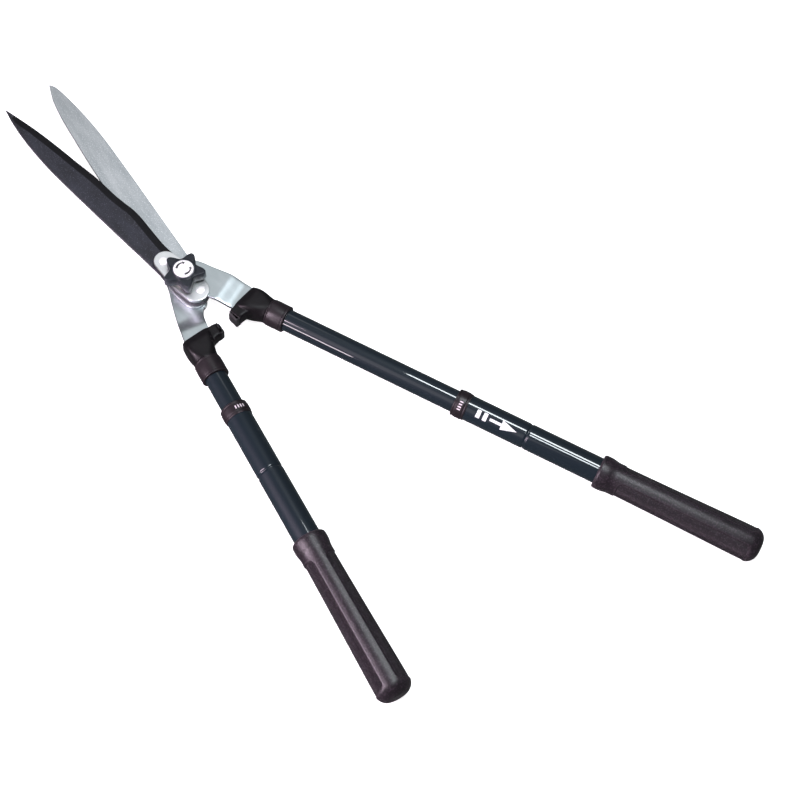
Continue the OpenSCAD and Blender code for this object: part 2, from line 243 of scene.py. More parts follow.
def ramp(nt, source, low, high, to_low, to_high):
    """Maps a value from one range to another, clamped."""
    node = nt.nodes.new("ShaderNodeMapRange")
    nt.links.new(source, node.inputs["Value"])
    for key, value in (("From Min", low), ("From Max", high), ("To Min", to_low), ("To Max", to_high)):
        node.inputs[key].default_value = value
    return node.outputs["Result"]


def noise(nt, coords, scale, detail, stretch):
    mapping = nt.nodes.new("ShaderNodeMapping")
    mapping.inputs["Scale"].default_value = stretch
    nt.links.new(coords, mapping.inputs["Vector"])
    node = nt.nodes.new("ShaderNodeTexNoise")
    node.inputs["Scale"].default_value = scale
    node.inputs["Detail"].default_value = detail
    nt.links.new(mapping.outputs["Vector"], node.inputs["Vector"])
    return node.outputs["Fac"]


def mixed(nt, fac, a, b):
    node = nt.nodes.new("ShaderNodeMix")
    node.data_type = "RGBA"
    nt.links.new(fac, node.inputs[0])
    for socket, value in ((node.inputs[6], a), (node.inputs[7], b)):
        if isinstance(value, tuple):
            socket.default_value = (*value, 1)
        else:
            nt.links.new(value, socket)
    return node.outputs[2]


def finish(name, dark, light, rough, metallic=0.0, coat=0.0, coat_rough=0.08, specular=0.5,
           scale=90, stretch=(1, 1, 1), grain=900, grain_stretch=(1, 1, 1), bump=0.15,
           depth=0.00004, edge=None, edge_at=(0.52, 0.6), specks=None, ribs=None):
    """Procedural surface: broad mottling between two colours, fine grain, optional edges of another colour
    from pointiness, which paint a highlight along rims where that colour is lighter and paint shade where it
    is darker, specks (scale, threshold, colour, amount) and ribs (the height of a grip's knurling)."""
    mat = bpy.data.materials.new(name)
    mat.use_nodes = True
    nt = mat.node_tree
    shader = nt.nodes["Principled BSDF"]
    shader.inputs["Metallic"].default_value = metallic
    shader.inputs["Coat Weight"].default_value = coat
    shader.inputs["Coat Roughness"].default_value = coat_rough
    shader.inputs["Specular IOR Level"].default_value = specular
    coords = nt.nodes.new("ShaderNodeTexCoord").outputs["Object"]
    broad = noise(nt, coords, scale, 5, stretch)
    fine = noise(nt, coords, grain, 3, grain_stretch)
    colour = mixed(nt, ramp(nt, broad, 0.3, 0.7, 0, 1), dark, light)
    if specks:
        speck_scale, threshold, speck_colour, amount = specks
        spots = noise(nt, coords, speck_scale, 2, (1, 1, 1))
        spots = ramp(nt, spots, threshold, threshold + 0.06, 0, amount)
        colour = mixed(nt, spots, colour, speck_colour)
    # Painted light along rims: a lighter edge colour is a painted highlight, a darker one painted shade.
    if edge:
        painted_edge_light = nt.nodes.new("ShaderNodeNewGeometry").outputs["Pointiness"]
        painted_edge_light = ramp(nt, painted_edge_light, edge_at[0], edge_at[1], 0, 1)
        colour = mixed(nt, painted_edge_light, colour, edge)
    nt.links.new(colour, shader.inputs["Base Color"])
    mottled = nt.nodes.new("ShaderNodeMath")
    mottled.operation = "ADD"
    nt.links.new(ramp(nt, broad, 0.3, 0.7, rough[0], rough[1]), mottled.inputs[0])
    nt.links.new(ramp(nt, fine, 0.3, 0.7, -0.02, 0.03), mottled.inputs[1])
    nt.links.new(mottled.outputs[0], shader.inputs["Roughness"])
    height = fine
    if ribs:
        dots = nt.nodes.new("ShaderNodeAttribute")
        dots.attribute_name = "knurl"
        shaped = nt.nodes.new("ShaderNodeMath")
        shaped.operation = "MULTIPLY_ADD"
        nt.links.new(dots.outputs["Fac"], shaped.inputs[0])
        shaped.inputs[1].default_value = ribs
        nt.links.new(fine, shaped.inputs[2])
        height = shaped.outputs[0]
    bumps = nt.nodes.new("ShaderNodeBump")
    bumps.inputs["Strength"].default_value = bump
    bumps.inputs["Distance"].default_value = depth
    nt.links.new(height, bumps.inputs["Height"])
    nt.links.new(bumps.outputs["Normal"], shader.inputs["Normal"])
    return mat


# The blade coating's lighter edge colour is a painted highlight along the blade's rims and chamfers.
COATED = finish("blade_coating", (0.011, 0.0115, 0.0155), (0.024, 0.0265, 0.036), (0.42, 0.54),
                specular=0.38, scale=60, stretch=(0.5, 2, 1), grain=1500, bump=0.3,
                specks=(900, 0.60, (0.10, 0.105, 0.13), 0.5), edge=(0.08, 0.08, 0.09))
COATED_EDGE = finish("blade_coating_edge", (0.0035, 0.0035, 0.0048), (0.006, 0.006, 0.0075), (0.45, 0.55),
                     specular=0.2, scale=120, grain=700, grain_stretch=(3, 0.3, 1), bump=0.2)
GROUND = finish("ground_steel", (0.44, 0.475, 0.50), (0.70, 0.73, 0.75), (0.32, 0.46), metallic=1.0,
                scale=36, stretch=(0.45, 2.6, 1), grain=800, grain_stretch=(0.5, 1.6, 1), bump=0.3,
                specks=(750, 0.58, (0.95, 0.97, 1.0), 0.6))
# The tang's darker edge colour is painted shade on its rounded side walls, which would otherwise mirror the
# lamps.
TANG = finish("tang_steel", (0.44, 0.485, 0.50), (0.52, 0.565, 0.58), (0.32, 0.38), metallic=1.0,
              scale=40, stretch=(1, 3, 1), grain=1300, grain_stretch=(0.3, 2.0, 1), bump=0.14,
              edge=(0.30, 0.32, 0.33))
# The plate's lighter edge colour is a painted highlight along its rim.
PLATE = finish("plate_steel", (0.76, 0.77, 0.78), (0.84, 0.85, 0.86), (0.34, 0.42), metallic=1.0,
               scale=60, grain=1500, bump=0.1, edge=(0.9, 0.9, 0.9))
# The rivet heads' near-white base colour is a painted reflection: it stands in for polished domes mirroring
# white light.
RIVET = finish("rivet_steel", (0.95, 0.95, 0.95), (0.99, 0.99, 0.99), (0.42, 0.5), metallic=0.2,
               scale=300, grain=2500, bump=0.06)
# The lighter edge colour is a painted highlight along rims.
ZINC = finish("zinc_steel", (0.46, 0.47, 0.48), (0.6, 0.6, 0.6), (0.3, 0.42), metallic=1.0, scale=150,
              grain=1500, bump=0.15, edge=(0.75, 0.75, 0.75))
BRONZE = finish("bronze", (0.42, 0.28, 0.12), (0.56, 0.40, 0.18), (0.3, 0.4), metallic=1.0, scale=200,
                grain=1500, bump=0.12)
NYLON = finish("nylon", (0.62, 0.60, 0.53), (0.72, 0.70, 0.63), (0.45, 0.55), scale=150, grain=1800,
               bump=0.12)
# The knob's lighter edge colour is a painted highlight along the lobes' rounded rims.
KNOB = finish("knob_plastic", (0.010, 0.0125, 0.0165), (0.019, 0.023, 0.028), (0.30, 0.40),
              specular=0.25, scale=120, grain=1700, bump=0.2, edge=(0.10, 0.11, 0.13), edge_at=(0.52, 0.57),
              specks=(1500, 0.64, (0.1, 0.11, 0.11), 0.2))
DISC = finish("disc_plastic", (0.86, 0.86, 0.86), (0.93, 0.93, 0.92), (0.3, 0.38), scale=200, grain=2200,
              bump=0.05)
PRINT_DARK = finish("print_dark", (0.02, 0.02, 0.022), (0.04, 0.04, 0.042), (0.45, 0.55), scale=900,
                    grain=3000, bump=0.05)
PRINT_WHITE = finish("print_white", (0.80, 0.82, 0.84), (0.9, 0.91, 0.92), (0.35, 0.45), scale=900,
                     grain=3000, bump=0.05)
PRINT_PALE = finish("print_pale", (0.62, 0.52, 0.58), (0.78, 0.7, 0.74), (0.4, 0.5), scale=900,
                    grain=3000, bump=0.05)
# The lighter edge colours of the socket, collar and grip plastics below are painted highlights along their
# rims and lips.
PLUM = finish("socket_plastic", (0.0035, 0.0029, 0.0037), (0.0062, 0.0050, 0.0062), (0.34, 0.44),
              specular=0.2, scale=110, grain=1500, bump=0.3, edge=(0.05, 0.04, 0.047))
COLLAR = finish("collar_plastic", (0.0095, 0.0065, 0.0085), (0.016, 0.011, 0.014), (0.33, 0.42),
                specular=0.35, scale=130, grain=1600, bump=0.22, edge=(0.085, 0.065, 0.076))
GRIP = finish("grip_plastic", (0.0085, 0.0060, 0.0085), (0.0145, 0.0100, 0.0140), (0.29, 0.36),
              specular=0.4, scale=70, grain=1700, bump=0.55, depth=0.00025,
              edge=(0.06, 0.047, 0.056), edge_at=(0.51, 0.56),
              specks=(620, 0.54, (0.050, 0.036, 0.048), 0.6), ribs=3.0)
RUBBER = finish("bumper_rubber", (0.012, 0.012, 0.013), (0.022, 0.021, 0.023), (0.5, 0.62), scale=200,
                grain=1400, bump=0.3)


def tube_paint(name, dark, light, rough, coat_rough):
    """Clear-coated paint with faint drawing lines along the tube."""
    return finish(name, dark, light, rough, specular=0.15, coat=1.0, coat_rough=coat_rough, scale=25,
                  stretch=(0.2, 1, 1), grain=600, grain_stretch=(0.08, 1, 1), bump=0.05)


INNER = tube_paint("inner_tube_paint", (0.0035, 0.0085, 0.0135), (0.0055, 0.0120, 0.0180), (0.42, 0.5), 0.03)
OUTER = tube_paint("outer_tube_paint", (0.0035, 0.0085, 0.0140), (0.0055, 0.0125, 0.0190), (0.4, 0.48), 0.025)

BY_SLOT = {
    "dark_coated_steel": COATED, "ground_steel": GROUND, "tang_steel": TANG, "plate_steel": PLATE,
    "rivet_steel": RIVET, "zinc_steel": ZINC, "bronze": BRONZE, "nylon": NYLON, "knob_plastic": KNOB,
    "disc_plastic": DISC, "socket_plastic": PLUM, "collar_plastic": COLLAR, "bumper_rubber": RUBBER,
    "inner_tube_paint": INNER, "outer_tube_paint": OUTER, "grip_plastic": GRIP,
}
SLOT_OF = {p["node"]: p["material_slot"] for p in frame["record"]["subparts"]}

for node_name, node in NODES.items():
    material = BY_SLOT[SLOT_OF[node_name]]
    if not node.material_slots:
        node.data.materials.append(material)
    for s in node.material_slots:
        s.material = material


def stands_for(obj, body, material, slot, *nodes):
    """A finished piece: its finish, the body it rides on and the CAD nodes that it replaces."""
    if not obj.data.materials:
        obj.data.materials.append(material)
    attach(obj, body)
    if nodes:
        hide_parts(*nodes)
    return obj


# ------------------------------------------------------------------ blades

BLADE_T = 3.0
GAP = 0.05
BLADE_TOP = BLADE_T + GAP
TANG_T = 3.5
TANG_TOP = BLADE_TOP + TANG_T
PLATE_TOP = TANG_TOP + 2.5

# Blade and tang outlines. These points were measured on the photograph with scratch scripts and
# then thinned and rounded, so they are data and not a design: report.md says so and why.
WAVY_EDGE = [(-22, 12.8), (-45, 12.2), (-72, 15), (-86, 16.7), (-99, 17.2), (-112, 15.9), (-124, 15.0),
             (-138, 14.9), (-156, 14.6), (-183, 12.4), (-211, 10.4), (-240, 7.5), (-266, 3.6), (-286, -0.4)]
WAVY_BACK = [(-286, -0.4), (-266, -5.6), (-238, -10.3), (-207, -13.2), (-176, -14.3), (-102, -14.2),
             (-32, -13.6), (-14, -14.5)]
PLAIN_EDGE = [(-22, 13), (-62, 13.6), (-112, 13.4), (-152, 12.8), (-188, 11.8), (-216, 10.6), (-244, 9.2),
              (-271, 5.8), (-292, 0)]
PLAIN_BACK = [(-292, 0), (-286, -4.4), (-270, -8.3), (-238, -13), (-206, -15.8), (-173, -16.8),
              (-126, -17.4), (-62, -17.8), (-30, -18), (-10, -18)]
# Heels and plates are hulls of circles, each (x, y, radius).
FRONT_HEEL = [(2, 0, 15.6), (19.2, -3.4, 12.6)]
REAR_HEEL = [(0, 0, 16.2), (12, 0, 14.6), (20, 0, 12.4)]
FRONT_PLATE = [(-27, 1.5, 11.4), (2, -0.2, 15.6), (18.6, -3.2, 12.8)]
REAR_PLATE = [(-27, 0, 10.8), (0, 0, 15.4), (22.8, 0, 11)]


def turned(points, angle):
    c, s = math.cos(math.radians(angle)), math.sin(math.radians(angle))
    return [(x * c - y * s, x * s + y * c) for x, y in points]


def hull_of(circles, grow=0.0, angle=0.0):
    points = [p for cx, cy, r in circles for p in circle(cx, cy, r + grow, 72)]
    return hull(turned(points, angle))


def blade(name, edge, back, heel, heel_angle, strip, place):
    """Flat blade with a ground strip of the given width along its edge, which fades out at the heel."""
    edge = resample(spline(edge, 8), 150)
    back = resample(spline(back, 8), 110)[1:]
    heel_loop = hull_of(heel, angle=heel_angle)
    right = [p for p in heel_loop if p[0] > -4]
    start = min(range(len(right)), key=lambda i: (right[i][1] > 0, right[i][0]))
    right = right[start:] + right[:start]
    loop = edge + back + right
    tip_x = edge[-1][0]
    depth = []
    for i, (x, y) in enumerate(loop):
        if i < len(edge):
            room = 0.42 * min(26, max(0.4, (x - tip_x) * 0.9))
            begin = min(1, max(0, (-x - 14) / 10))
            depth.append(min(0.35 + (strip - 0.35) * begin, room))
        else:
            depth.append(min(0.35, 0.3 * max(0.3, x - tip_x)))
    soft = [min(d, 0.35) for d in depth]
    is_edge = [i < len(edge) for i in range(len(loop))]
    fall = [min(0.8, 0.12 * d) if e and d > 0.5 else min(0.3, d) for d, e in zip(depth, is_edge)]
    inner = inset(loop, depth)
    crest = inset(loop, [d * 0.94 for d in depth])
    bottom = at_height(inset(loop, soft), GAP)
    rings = [bottom,
             [(x, y, GAP + 0.2) for x, y in loop],
             [(x, y, BLADE_TOP - f) for (x, y), f in zip(loop, fall)],
             [(x, y, BLADE_TOP - f * 0.05) for (x, y), f in zip(crest, fall)],
             at_height(inner, BLADE_TOP)]
    return layered(name, rings, place, smooth=4)


front_blade = blade("front_blade_steel", WAVY_EDGE, WAVY_BACK, FRONT_HEEL, 6, 7.6,
                    FRONT_STEEL @ turn_z(-FRONT_BLADE_ANGLE))
front_blade.data.materials.append(COATED)
front_blade.data.materials.append(COATED_EDGE)
# The sloping faces on the cutting side are the ground strip, and take the darker coating.
for poly in front_blade.data.polygons:
    if 0.1 < poly.normal.z < 0.9985 and poly.center.y > 0 and poly.center.x < -0.014:
        poly.material_index = 1
stands_for(front_blade, "front_arm", COATED, "dark_coated_steel", "front_blade")

rear_blade = blade("rear_blade_steel", PLAIN_EDGE, PLAIN_BACK, REAR_HEEL, 2, 5.0,
                   REAR_STEEL @ turn_z(REAR_BLADE_ANGLE))
stands_for(rear_blade, "rear_arm", GROUND, "ground_steel", "rear_blade")


# ------------------------------------------------------------------ tangs, plates, rivets

FRONT_TANG_OUT = [(-17, 12), (-6.9, 23.3), (9.5, 29.6), (23, 34.9), (35, 38.8), (44, 41.4), (50.4, 42.4),
                  (55.2, 41.5)]
FRONT_TANG_IN = [(62.5, 16.2), (54.5, 12.6), (43.3, 8), (37, 5.4), (31, 2.4), (25, -4)]
REAR_TANG_OUT = [(-16, 10), (-12, 13.4), (-3.7, 17.7), (5.2, 23.2), (18.3, 30.6), (31.6, 37.5), (44.9, 44.2),
                 (52.8, 48), (54.3, 48.6)]
REAR_TANG_IN = [(60, 22.4), (52.8, 18.6), (45.5, 15.2), (38.9, 11), (33.5, 5.6), (28, -4)]
BEND_FROM = 36.0        # along the handle's direction
BEND_TO = 55.0


def bend_drop(u):
    """How far the tang has come down towards the handle's axis."""
    return (BLADE_TOP + TANG_T / 2) * smooth_step(BEND_FROM, BEND_TO, u)


def tang(name, outer, inner, angle, ends, plate_angle, place):
    """Bent flat bar between two edge curves, with a flat pad of the plate's outline at the pivot."""
    rows = 90
    a = resample(spline(outer, 8), rows)
    b = resample(spline(inner[::-1], 8), rows)
    across = [0, 0.008, 0.03] + [0.1 + 0.08 * k for k in range(11)] + [0.97, 0.992, 1]
    dip = {0: 0.5, 1: 0.12, 2: 0.0, len(across) - 3: 0.0, len(across) - 2: 0.12, len(across) - 1: 0.5}
    c, s = math.cos(math.radians(angle)), math.sin(math.radians(angle))
    verts, faces = [], []
    for side in (1, -1):
        for p, q in zip(a, b):
            for j, t in enumerate(across):
                x, y = p[0] + (q[0] - p[0]) * t, p[1] + (q[1] - p[1]) * t
                z = BLADE_TOP + TANG_T / 2 - bend_drop(x * c + y * s)
                verts.append((x, y, z + side * (TANG_T / 2 - dip.get(j, 0))))
    m = len(across)
    half = rows * m
    for i in range(rows - 1):
        for j in range(m - 1):
            k = i * m + j
            faces.append((k, k + 1, k + m + 1, k + m))
            faces.append((half + k, half + k + m, half + k + m + 1, half + k + 1))
        for j in (0, m - 1):
            k = i * m + j
            faces.append((k, k + m, half + k + m, half + k))
    for i in (0, rows - 1):
        for j in range(m - 1):
            k = i * m + j
            faces.append((k, k + 1, half + k + 1, half + k))
    arm = new_object(name, verts, faces, place, 40)
    pad = slab(name + "_pad", hull_of(ends, -0.4, plate_angle), BLADE_TOP, TANG_TOP, 0.3, place)
    return join(name, [arm, pad])


front_tang = tang("front_tang_steel", FRONT_TANG_OUT, FRONT_TANG_IN, FRONT_ANGLE, FRONT_PLATE,
                  FRONT_PLATE_ANGLE, FRONT_STEEL)
stands_for(front_tang, "front_arm", TANG, "tang_steel", "front_tang")
rear_tang = tang("rear_tang_steel", REAR_TANG_OUT, REAR_TANG_IN, REAR_ANGLE, REAR_PLATE, REAR_PLATE_ANGLE,
                 REAR_STEEL)
stands_for(rear_tang, "rear_arm", TANG, "tang_steel", "rear_tang")

front_plate = slab("front_plate_steel", hull_of(FRONT_PLATE, 0, FRONT_PLATE_ANGLE), TANG_TOP, PLATE_TOP, 0.6,
                   FRONT_STEEL)
stands_for(front_plate, "front_arm", PLATE, "plate_steel", "front_plate")
rear_plate = slab("rear_plate_steel", hull_of(REAR_PLATE, 0, REAR_PLATE_ANGLE), TANG_TOP, PLATE_TOP, 0.6,
                  REAR_STEEL)
stands_for(rear_plate, "rear_arm", PLATE, "plate_steel", "rear_plate")


RIVETS_AT = (-27.5, 21.8)
RIVET_R = 4.6
DOME_H = 1.4


def rivets(name, angle, place):
    """Both domed heads on one plate."""
    pieces = []
    for k, x in enumerate(RIVETS_AT):
        spot = place @ turn_z(angle) @ move(x, 0, 0)
        profile = [(PLATE_TOP - 3, 0), (PLATE_TOP - 3, 3), (PLATE_TOP - 0.2, 3), (PLATE_TOP - 0.2, 4.5)]
        profile += [(PLATE_TOP + DOME_H * math.sin(a), RIVET_R * math.cos(a)) for a in
                    [math.radians(d) for d in range(0, 90, 9)]] + [(PLATE_TOP + DOME_H, 0)]
        one = lathe(f"{name}_{k}", profile, spot, 48, "Z", 50)
        one.data.transform(place.inverted() @ spot)
        one.matrix_world = place
        pieces.append(one)
    return join(name, pieces)


stands_for(rivets("front_rivet_heads", FRONT_PLATE_ANGLE, FRONT_STEEL), "front_arm", RIVET, "rivet_steel",
           "front_rivets")
stands_for(rivets("rear_rivet_heads", REAR_PLATE_ANGLE, REAR_STEEL), "rear_arm", RIVET, "rivet_steel",
           "rear_rivets")


# ------------------------------------------------------------------ knob

WASHER_T = 1.2
WASHER_GAP = 0.1
KNOB_Z = PLATE_TOP + WASHER_GAP + WASHER_T + WASHER_GAP + WASHER_T + WASHER_GAP
KNOB_H = 11.2
KNOB_PLACE = AT_MID @ move(0, 0, KNOB_Z)
LOBE_ANGLE = 42


LOOP_POINTS = 200       # in each of the knob's rings


def star(grow):
    """Five-lobed outline, grown outwards."""
    loop = []
    for k in range(LOOP_POINTS):
        a = 2 * math.pi * k / LOOP_POINTS
        r = 17.3 + 3.9 * math.cos(5 * a) + 0.35 * math.cos(10 * a)
        loop.append((r * math.cos(a), r * math.sin(a)))
    return turned(inset(loop, [-grow] * LOOP_POINTS), LOBE_ANGLE)


def knob():
    """Star knob: rounded rim, a top that dishes in to the hub, and a recess for the cap."""
    rings = [at_height(star(-1.2), 0.0), at_height(star(-0.3), 0.25), at_height(star(0), 0.9)]
    top = KNOB_H - 0.9
    rings.append(at_height(star(-0.4), top - 1.3))
    for d in range(0, 91, 15):
        a = math.radians(d)
        rings.append(at_height(star(-0.4 - 1.3 * (1 - math.cos(a))), top - 1.3 + 1.3 * math.sin(a)))
    lobes = star(-2.2)
    hub = turned(circle(0, 0, 11.6, LOOP_POINTS), LOBE_ANGLE)
    for t in (0.25, 0.5, 0.75, 1.0):
        rings.append([(x + (hx - x) * t, y + (hy - y) * t, top + 0.15 * t)
                      for (x, y), (hx, hy) in zip(lobes, hub)])
    for r, z in ((11.3, KNOB_H - 0.5), (11.0, KNOB_H - 0.1), (10.6, KNOB_H), (10.2, KNOB_H - 0.05),
                 (10.1, KNOB_H - 1.1), (4, KNOB_H - 1.2)):
        rings.append(at_height(turned(circle(0, 0, r, LOOP_POINTS), LOBE_ANGLE), z))
    return layered("knob_star", rings, KNOB_PLACE, smooth=50)


stands_for(knob(), "knob", KNOB, "knob_plastic", "knob")
CAP_R = 9.85
CAP_LOW = KNOB_H - 1.15
CAP_TOP = KNOB_H + 0.95
cap = lathe("knob_cap", [(CAP_LOW, 0), (CAP_LOW, CAP_R)] + fillet(
    [(CAP_LOW, CAP_R), (KNOB_H + 0.8, CAP_R), (CAP_TOP, 8.8)], 0.5) + [(CAP_TOP, 0)],
    KNOB_PLACE, 96, "Z", 40)
stands_for(cap, "knob", DISC, "disc_plastic", "knob_disc")


def arrow(name, start, end, radius, z):
    """A curved arrow printed on the cap, thick at its tail."""
    steps = 24
    verts = []
    for k in range(steps + 1):
        t = k / steps
        a = math.radians(start + (end - start) * t)
        w = 1.2 - 0.55 * t
        verts += [((radius - w) * math.cos(a), (radius - w) * math.sin(a), z),
                  ((radius + w) * math.cos(a), (radius + w) * math.sin(a), z)]
    faces = [(2 * k, 2 * k + 1, 2 * k + 3, 2 * k + 2) for k in range(steps)]
    a, step = math.radians(end), math.radians(20 if end > start else -20)
    base = len(verts)
    verts += [((radius - 1.9) * math.cos(a), (radius - 1.9) * math.sin(a), z),
              ((radius + 1.9) * math.cos(a), (radius + 1.9) * math.sin(a), z),
              (radius * math.cos(a + step), radius * math.sin(a + step), z)]
    faces.append((base, base + 1, base + 2))
    return new_object(name, verts, faces, KNOB_PLACE, 30)


ARROW_R = 6.6
ARROW_Z = CAP_TOP + 0.02
arrows = join("knob_arrows", [arrow("knob_arrow_left", 228, 146, ARROW_R, ARROW_Z),
                              arrow("knob_arrow_right", -34, 46, ARROW_R, ARROW_Z)])
stands_for(arrows, "knob", PRINT_DARK, "disc_plastic")


# ------------------------------------------------------------------ sockets

SOCKET_FRONT = 56.5
SOCKET_END = 88.5
COLLAR_END = 108.5
VOXEL_M = 0.0004


def socket(name, arm_in, arm_out, outer, place):
    """Moulded socket: a flat mouth that swells into a round neck, with the stop arm blended in."""
    f = SOCKET_FRONT
    seg, steps = 96, 26
    rings = []
    for i in range(steps + 1):
        t = i / steps
        swell = smooth_step(0.15, 0.95, t)
        half = 8.6 + 3.9 * smooth_step(-0.1, 0.36, t)
        high, low = 13.6 - 1.3 * swell, 15.5 - 3.2 * swell
        sharp = 5.5 - 3.2 * smooth_step(0.4, 1, t)
        ring = []
        for k in range(seg):
            a = 2 * math.pi * k / seg
            cy, cz = math.cos(a), math.sin(a)
            y = math.copysign(abs(cy) ** (2 / sharp), cy) * (high if cy > 0 else low)
            z = math.copysign(abs(cz) ** (2 / sharp), cz) * half
            mouth = f + 0.4 + (y + 20) * 0.2
            ring.append((mouth + (SOCKET_END - mouth) * t, y * outer, z))
        rings.append(ring)
    body = layered(name, rings, place)
    side = ([(f + 6, -6), (f + 2.4, -9), (f + 0.3, -20), (f + 0.8, arm_in), (f + 14, arm_out)]
            + spline([(f + 14.6, arm_out + 3.2), (f + 15.4, -20), (f + 18.2, -15), (82, -11.6)], 6)
            + [(82, -8), (f + 14, -5)])
    side = [(x, y * outer) for x, y in side]
    if outer < 0:
        side = side[::-1]
    rounding = ((3.2, -6.2), (1.4, -5.8), (0.4, -4.6), (0, -2.8),
                (0, 4.6), (0.3, 6.6), (1.0, 7.9), (2.6, 8.5))
    arm = layered(name + "_arm", stepped(side, rounding), place)
    obj = join(name, [body, arm])
    obj.data.remesh_voxel_size = VOXEL_M
    with bpy.context.temp_override(active_object=obj, object=obj):
        bpy.ops.object.voxel_remesh()
    bm = bmesh.new()
    bm.from_mesh(obj.data)
    for _ in range(8):
        bmesh.ops.smooth_vert(bm, verts=bm.verts, factor=0.5, use_axis_x=True, use_axis_y=True,
                              use_axis_z=True)
    bm.to_mesh(obj.data)
    bm.free()
    for poly in obj.data.polygons:
        poly.use_smooth = True
    thin = obj.modifiers.new("thin", "DECIMATE")
    thin.ratio = 0.35
    return obj


def bumper(name, arm_in, arm_out, outer, place):
    """Rubber block on the end of the stop arm."""
    f = SOCKET_FRONT
    loop = [(f + 0.7, arm_in + 1.2), (f + 1.6, arm_in - 2.2), (f + 3, arm_in - 3), (f + 12.2, arm_out - 3),
            (f + 13.4, arm_out - 2.3), (f + 13.9, arm_out + 1.2)]
    loop = [(x, y * outer) for x, y in loop]
    if outer < 0:
        loop = loop[::-1]
    loop = resample(loop + loop[:1], 60)[:-1]
    rounding = ((1.9, -5.6), (0.9, -5.2), (0.2, -4.2), (0, -2.8),
                (0, 4.6), (0.2, 6.2), (0.9, 7.4), (1.9, 7.9))
    return layered(name, stepped(loop, rounding), place)


stands_for(socket("front_socket_shell", -23.4, -26.6, 1, FRONT_AXIS), "front_arm", PLUM, "socket_plastic",
           "front_socket")
stands_for(socket("rear_socket_shell", -24.8, -25.4, -1, REAR_AXIS), "rear_arm", PLUM, "socket_plastic",
           "rear_socket")
stands_for(bumper("front_bumper_pad", -23.4, -26.6, 1, FRONT_AXIS), "front_arm", RUBBER, "bumper_rubber",
           "front_bumper")
stands_for(bumper("rear_bumper_pad", -24.8, -25.4, -1, REAR_AXIS), "rear_arm", RUBBER, "bumper_rubber",
           "rear_bumper")

SOCKET_COLLAR = fillet([
    (SOCKET_END + 0.1, 11.06), (SOCKET_END + 0.1, 12.6), (SOCKET_END + 0.9, 13.2), (SOCKET_END + 1.6, 13.15),
    (SOCKET_END + 2.0, 12.9), (SOCKET_END + 2.5, 13.5), (SOCKET_END + 9, 13.6), (COLLAR_END - 3.0, 13.45),
    (COLLAR_END - 2.6, 13.1), (COLLAR_END - 2.1, 13.6), (COLLAR_END - 0.5, 13.5), (COLLAR_END, 12.6),
    (COLLAR_END, 11.06)], 0.35)
for arm, place in (("front", FRONT_AXIS), ("rear", REAR_AXIS)):
    collar = lathe(f"{arm}_socket_ring", SOCKET_COLLAR, place, 96, smooth=40)
    stands_for(collar, f"{arm}_arm", COLLAR, "collar_plastic", f"{arm}_socket_collar")


# ------------------------------------------------------------------ tubes and twist locks

TUBE_START = 75.0
TUBE_END = LOCK_AT + TRAVEL + 82.3
GRIP_FROM = 149.5
GRIP_END = GRIP_FROM + 163.5
RING_AT = 76.0          # middle of the rolled groove, from the lock
INNER_R = 11.0
INNER_BORE = 10.2
OUTER_R = 12.7
OUTER_BORE = 11.9

for arm, place in (("front", FRONT_AXIS), ("rear", REAR_AXIS)):
    tube = lathe(f"{arm}_inner_steel", [
        (TUBE_START, INNER_BORE), (TUBE_START, INNER_R), (TUBE_END, INNER_R), (TUBE_END, INNER_BORE),
        (TUBE_START, INNER_BORE)], place, 96)
    stands_for(tube, f"{arm}_arm", INNER, "inner_tube_paint", f"{arm}_inner_tube")

OUTER_START = 8.0
OUTER_END = GRIP_END - 8
GROOVE = [(RING_AT - 2.6, OUTER_R), (RING_AT - 1.9, OUTER_R + 0.02), (RING_AT - 1.3, OUTER_R - 0.2),
          (RING_AT - 0.8, OUTER_R - 0.62), (RING_AT - 0.2, OUTER_R - 0.72), (RING_AT + 0.4, OUTER_R - 0.62),
          (RING_AT + 0.9, OUTER_R - 0.2), (RING_AT + 1.5, OUTER_R + 0.02), (RING_AT + 2.2, OUTER_R)]
LOCK_R = 13.8
LOCK_RING = fillet([
    (0.0, 11.35), (0.0, 12.9), (0.5, 13.35), (1.6, 13.45), (2.1, 13.2), (2.7, 13.25), (3.3, 13.75),
    (5.2, LOCK_R), (8.6, LOCK_R), (10.4, 13.75), (11.0, 13.3), (11.6, 13.3), (12.1, 13.5), (13.0, 13.4),
    (13.4, 13.0), (13.4, 12.75)], 0.4)
for arm, place in (("front", FRONT_SLIDE), ("rear", REAR_SLIDE)):
    tube = lathe(f"{arm}_outer_steel", [(OUTER_START, OUTER_BORE), (OUTER_START, OUTER_R)] + GROOVE
                 + [(OUTER_END, OUTER_R), (OUTER_END, OUTER_BORE), (OUTER_START, OUTER_BORE)], place, 96,
                 smooth=50)
    stands_for(tube, f"{arm}_handle", OUTER, "outer_tube_paint", f"{arm}_outer_tube")
    ring = lathe(f"{arm}_lock_ring", LOCK_RING + [(1.6, OUTER_R + 0.05), (1.6, 11.35), (0, 11.35)], place,
                 96, smooth=40)
    stands_for(ring, f"{arm}_lock", COLLAR, "collar_plastic", f"{arm}_lock_collar")


def on_tube(u, angle, radius):
    """Point on a tube round the X axis; the angle is in degrees from the top."""
    return (u, radius * math.sin(math.radians(angle)), radius * math.cos(math.radians(angle)))


def wrapped(name, shapes, radius, place):
    """Flat shapes of (along, angle) points laid on a tube."""
    verts, faces = [], []
    for shape in shapes:
        base = len(verts)
        verts += [on_tube(u, a, radius) for u, a in shape]
        faces.append(tuple(range(base, base + len(shape))))
    return new_object(name, verts, faces, place, 60)


def bar(u0, u1, a0, a1, cuts=6):
    """Strips that together make one bar, thin enough to follow the tube."""
    step = (a1 - a0) / cuts
    cut = [a0 + k * step for k in range(cuts + 1)]
    return [[(u0, a), (u1, a), (u1, b), (u0, b)] for a, b in zip(cut, cut[1:])]


